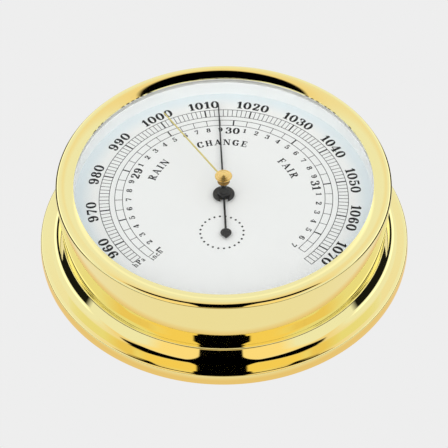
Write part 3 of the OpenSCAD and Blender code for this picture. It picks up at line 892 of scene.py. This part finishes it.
def setting_knob():
    """Knob cap that widens upwards to a narrow rim, with a low cone on top and a ring turned into it."""
    outline = rounded([
        (0.8, KNOB_Z, 0), (2.6, KNOB_Z, 0.1), (KNOB_R - 0.1, KNOB_Z + 1.1, 0.2),
        (KNOB_R, KNOB_Z + 1.35, 0.15), (KNOB_R - 0.15, KNOB_Z + 1.6, 0.2),
        (KNOB_R - 0.75, KNOB_Z + 1.72, 0.1), (KNOB_R - 0.85, KNOB_Z + 1.66, 0.1),
        (KNOB_R - 0.95, KNOB_Z + 1.76, 0.1), (0.3, KNOB_TOP_Z, 1), (0, KNOB_TOP_Z, 0),
        (0, KNOB_Z + 1, 0), (0.8, KNOB_Z + 1, 0)], 6)
    knob = lathe("setting_knob", outline, KNOB_BRASS, 128)
    return fit(knob, "set_hand_body", "polished_brass", "set_knob")


case_shell()
bezel_shell()
white_ring()
gasket()
glass_pane()
dial_face()
dial_scales()
dial_numbers()
dial_words()
dial_ornament()
indicating_hand()
indicating_hub()
setting_hand()
setting_boss()
setting_knob()

# ---------------------------------------------------------------- floor, light and camera


class Surroundings(Nodes):
    """The studio as a colour for each direction: a pale room with dark gaps that polished brass mirrors."""

    def __init__(self):
        world = bpy.data.worlds.new("studio")
        bpy.context.scene.world = world
        world.use_nodes = True
        super().__init__(world.node_tree)
        self.tree.nodes.clear()
        output = self.add("ShaderNodeOutputWorld")
        self.background = self.add("ShaderNodeBackground")
        self.link(self.background.outputs[0], output.inputs[0])
        split = self.add("ShaderNodeSeparateXYZ")
        self.link(self.add("ShaderNodeTexCoord").outputs["Generated"], split.inputs[0])
        x, y, z = split.outputs
        self.forward = y
        self.elevation = self.degrees(self.math("ARCSINE", z))
        # 0 is the horizon behind the object, 90 overhead and 180 the horizon on the camera's side
        self.overhead = self.degrees(self.math("ARCTAN2", z, y))
        self.sideways = self.math("ABSOLUTE", self.degrees(self.math("ARCSINE", x)))

    def degrees(self, value):
        return self.math("MULTIPLY", value, 180 / math.pi)

    def between(self, value, low, high, soft):
        """1 between low and high, falling to 0 across the soft width at each end."""
        ends = []
        for near, far in ((low - soft, low + soft), (high + soft, high - soft)):
            ramp = self.add("ShaderNodeMapRange")
            self.link(value, ramp.inputs["Value"])
            ramp.inputs["From Min"].default_value = near
            ramp.inputs["From Max"].default_value = far
            ends.append(ramp.outputs[0])
        return self.math("MULTIPLY", *ends)

    def both(self, a, b):
        """1 where both of the factors are 1."""
        return self.math("MULTIPLY", a, b)

    def over(self, below, colour, factor):
        """The colour laid over what is below it, as far as the factor says."""
        node = self.add("ShaderNodeMix", data_type="RGBA")
        sockets = (node.inputs["A"], node.inputs["B"], node.inputs["Factor"])
        for socket, value in zip(sockets, (below, colour, factor)):
            if isinstance(value, bpy.types.NodeSocket):
                self.link(value, socket)
            else:
                socket.default_value = (*value, 1)
        return node.outputs["Result"]


PALE = (0.855, 0.855, 0.855)
# painted light: the warm orange glow that reflections see on the floor next to the case
PAINTED_WARM_GLOW_NEAR = (0.86, 0.64, 0.38)
FLOOR_FAR = (0.90, 0.84, 0.74)
WALLS = (0.93, 0.93, 0.93)
WARM_WALL = (1.05, 0.82, 0.46)
BRIGHT_STRIP = (1.3, 1.3, 1.3)
BEHIND_CAMERA = (0.38, 0.30, 0.18)
TABLE_EDGE = (0.05, 0.04, 0.02)
HORIZON = (0.01, 0.01, 0.01)
GAP_EDGE = (0.95, 0.76, 0.50)
BLACK = (0, 0, 0)


def studio():
    """Pale room with bright strips, dark bands and gaps, laid one over the other. Angles are in degrees."""
    s = Surroundings()
    facing = s.both(s.between(s.overhead, 112, 300, 6), s.between(s.sideways, -90, 38, 5))
    below = s.between(s.elevation, -100, -11, 1)
    strips = s.both(s.between(s.elevation, 14, 32, 3), s.between(s.forward, -0.05, 0.85, 0.06))
    behind_camera = s.both(s.between(s.elevation, -12, 10, 3), s.between(s.forward, -2, -0.93, 0.05))
    table_edge = s.both(s.between(s.elevation, -14, -2, 1), s.between(s.forward, -0.97, 0, 0.03))
    height = s.math("DIVIDE", s.elevation, s.math("ADD", s.forward, 1.0))
    horizon = s.both(s.between(height, -18, 7, 0.6), s.between(s.forward, -0.1, 0.85, 0.04))
    # the gap in the ceiling gets narrower towards the sides
    past_gap = s.math("SUBTRACT", s.overhead, s.math("MULTIPLY", s.sideways, 1.15))
    gap_edge = s.both(s.between(past_gap, 46, 200, 8), s.between(s.overhead, -10, 112, 2))
    gap = s.both(s.between(past_gap, 55, 200, 1), s.between(s.overhead, -10, 106, 1))
    gap = s.both(gap, s.between(s.sideways, -90, 30, 2))
    camera_place = s.both(s.between(s.overhead, 104, 165, 1), s.between(s.sideways, -90, 12, 0.5))

    room = s.over(WALLS, WARM_WALL, facing)
    room = s.over(room, FLOOR_FAR, below)
    room = s.over(room, BRIGHT_STRIP, strips)
    room = s.over(room, BEHIND_CAMERA, behind_camera)
    room = s.over(room, TABLE_EDGE, table_edge)
    room = s.over(room, HORIZON, horizon)
    room = s.over(room, GAP_EDGE, gap_edge)
    room = s.over(room, BLACK, gap)
    room = s.over(room, BLACK, camera_place)
    # matt surfaces see a plain soft light instead, brighter from the front
    path = s.add("ShaderNodeLightPath")
    soft = s.math("SUBTRACT", 1.1, s.math("MULTIPLY", s.forward, 0.9))
    softbox = s.add("ShaderNodeCombineXYZ")
    for socket in softbox.inputs:
        s.link(soft, socket)
    room = s.over(room, softbox.outputs[0], path.outputs["Is Diffuse Ray"])
    room = s.over(room, PALE, path.outputs["Is Camera Ray"])
    s.link(room, s.background.inputs["Color"])


def floor():
    """A plain pale floor just under the object, clear from below so that the rear can be looked at. Next to
    the case, all but camera rays see a painted warm glow on it.
    """
    radius, drop = 100 * MM, 0.1 * MM
    near_r, far_r = 78.5 * MM, 81 * MM
    bm = bmesh.new()
    turns = [2 * math.pi * i / 64 for i in range(64)]
    bm.faces.new([bm.verts.new((radius * math.cos(t), radius * math.sin(t), -drop)) for t in turns])
    mesh = bpy.data.meshes.new("floor")
    bm.to_mesh(mesh)
    bm.free()
    plane = bpy.data.objects.new("floor", mesh)
    bpy.context.scene.collection.objects.link(plane)
    material = bpy.data.materials.new("floor_pale")
    material.use_nodes = True
    tree = material.node_tree
    tree.nodes.clear()
    output = tree.nodes.new("ShaderNodeOutputMaterial")
    glow = tree.nodes.new("ShaderNodeEmission")
    clear = tree.nodes.new("ShaderNodeBsdfTransparent")
    path = tree.nodes.new("ShaderNodeLightPath")
    side = tree.nodes.new("ShaderNodeNewGeometry")
    tint = tree.nodes.new("ShaderNodeMix")
    tint.data_type = "RGBA"
    tint.inputs["B"].default_value = (*PALE, 1)
    place = tree.nodes.new("ShaderNodeTexCoord")
    reach = tree.nodes.new("ShaderNodeVectorMath")
    reach.operation = "LENGTH"
    near = tree.nodes.new("ShaderNodeMapRange")
    near.inputs["From Min"].default_value = near_r
    near.inputs["From Max"].default_value = far_r
    # painted light: a warm orange glow on the floor within about 80 mm of the centre, for all but camera rays
    glow_tint = tree.nodes.new("ShaderNodeMix")
    glow_tint.data_type = "RGBA"
    glow_tint.inputs["A"].default_value = (*PAINTED_WARM_GLOW_NEAR, 1)
    glow_tint.inputs["B"].default_value = (*FLOOR_FAR, 1)
    tree.links.new(place.outputs["Object"], reach.inputs[0])
    tree.links.new(reach.outputs["Value"], near.inputs["Value"])
    tree.links.new(near.outputs[0], glow_tint.inputs["Factor"])
    tree.links.new(glow_tint.outputs["Result"], tint.inputs["A"])
    choose = tree.nodes.new("ShaderNodeMixShader")
    tree.links.new(path.outputs["Is Camera Ray"], tint.inputs["Factor"])
    tree.links.new(tint.outputs["Result"], glow.inputs["Color"])
    tree.links.new(side.outputs["Backfacing"], choose.inputs[0])
    tree.links.new(glow.outputs[0], choose.inputs[1])
    tree.links.new(clear.outputs[0], choose.inputs[2])
    tree.links.new(choose.outputs[0], output.inputs["Surface"])
    mesh.materials.append(material)


def camera():
    """Looks down at the dial's centre from the front, slightly to the right."""
    distance = 731.4 * MM
    elevation, azimuth = math.radians(46.49), math.radians(2.45)
    droop, roll = math.radians(0.88), math.radians(-0.54)
    place = Vector((0, -distance * math.cos(elevation), distance * math.sin(elevation) + DIAL_Z * MM))
    ahead = Vector((0, math.cos(elevation + droop), -math.sin(elevation + droop)))
    level = ahead.cross(Vector((0, 0, 1))).normalized()
    upright = level.cross(ahead)
    right = math.cos(roll) * level + math.sin(roll) * upright
    up = right.cross(ahead)
    matrix = Matrix((right, up, -ahead)).transposed().to_4x4()
    matrix.translation = place
    data = bpy.data.cameras.new("camera")
    data.sensor_width = 36
    data.lens = 145.85
    obj = bpy.data.objects.new("camera", data)
    bpy.context.scene.collection.objects.link(obj)
    obj.matrix_world = Matrix.Rotation(azimuth, 4, "Z") @ matrix
    bpy.context.scene.camera = obj
    bpy.context.scene.view_settings.view_transform = "Standard"


studio()
floor()
camera()

bpy.context.view_layer.update()
